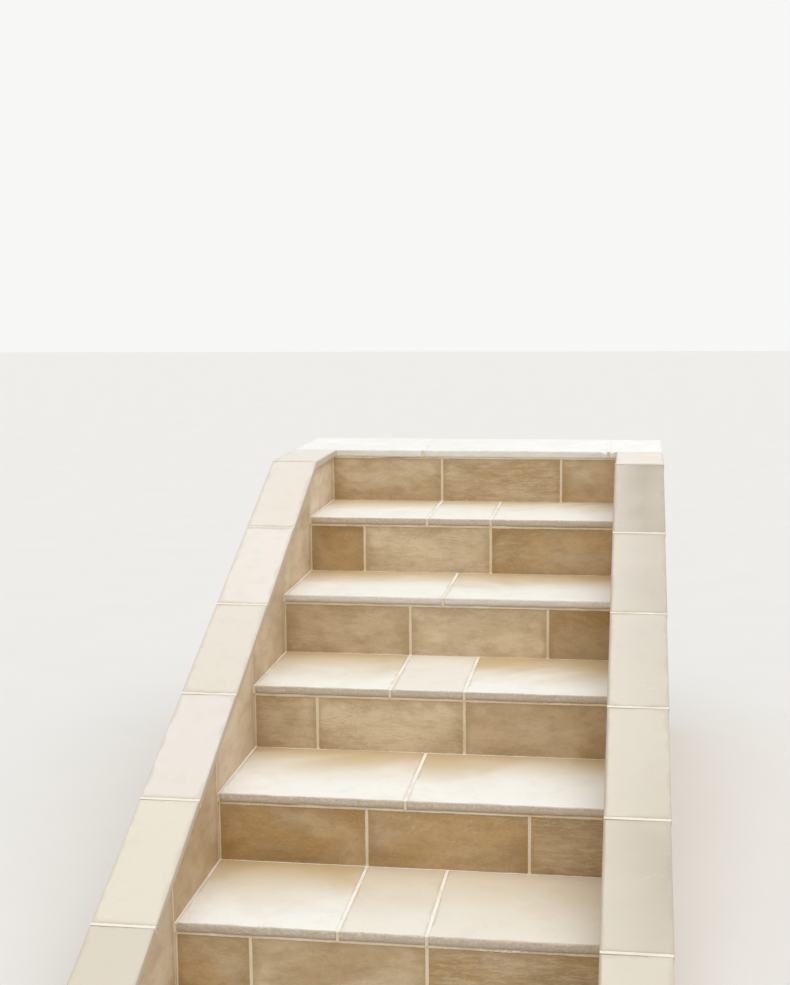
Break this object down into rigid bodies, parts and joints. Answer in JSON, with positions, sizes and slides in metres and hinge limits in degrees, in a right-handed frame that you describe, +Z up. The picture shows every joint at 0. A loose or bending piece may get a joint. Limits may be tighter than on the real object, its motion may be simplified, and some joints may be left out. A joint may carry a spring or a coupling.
{
  "type": "tiled outdoor staircase",
  "caption": "Straight outdoor stair between raking cheek walls, clad in pale sandstone-coloured slabs, rising to a landing.",
  "frame": {"origin": "middle of the footprint, on the ground the stair stands on", "axes": "+Z up, +Y up the flight towards the landing, +X to the right of a person climbing"},
  "size_m": [1.27, 2.948, 1.056],
  "materials": {
    "tread_stone": "smooth cast sandstone, slightly sheened",
    "facing_stone": "riven cast sandstone",
    "coping_stone": "smooth cast sandstone",
    "concrete": "rough cast concrete",
    "pointing_mortar": "pale trowelled mortar",
    "blockwork": "rough blockwork"
  },
  "bodies": {
    "root": {"stair_core": "concrete", "landing_course": "tread_stone", "back_facing": "facing_stone", "riser_1": "facing_stone", "riser_2": "facing_stone", "riser_3": "facing_stone", "riser_4": "facing_stone", "riser_5": "facing_stone", "riser_6": "facing_stone", "tread_1": "tread_stone", "tread_2": "tread_stone", "tread_3": "tread_stone", "tread_4": "tread_stone", "tread_5": "tread_stone", "riser_pointing": "pointing_mortar", "tread_pointing": "pointing_mortar", "landing_pointing": "pointing_mortar", "back_pointing": "pointing_mortar", "coping_pointing": "pointing_mortar", "left_cheek_wall": "blockwork", "left_inner_facing": "facing_stone", "left_outer_facing": "facing_stone", "left_end_tile": "facing_stone", "left_cap": "coping_stone", "left_inner_pointing": "pointing_mortar", "left_outer_pointing": "pointing_mortar", "left_coping_1": "coping_stone", "left_coping_2": "coping_stone", "left_coping_3": "coping_stone", "left_coping_4": "coping_stone", "left_coping_5": "coping_stone", "left_coping_6": "coping_stone", "right_cheek_wall": "blockwork", "right_inner_facing": "facing_stone", "right_outer_facing": "facing_stone", "right_end_tile": "facing_stone", "right_cap": "coping_stone", "right_inner_pointing": "pointing_mortar", "right_outer_pointing": "pointing_mortar", "right_coping_1": "coping_stone", "right_coping_2": "coping_stone", "right_coping_3": "coping_stone", "right_coping_4": "coping_stone", "right_coping_5": "coping_stone", "right_coping_6": "coping_stone"}
  },
  "joints": []
}
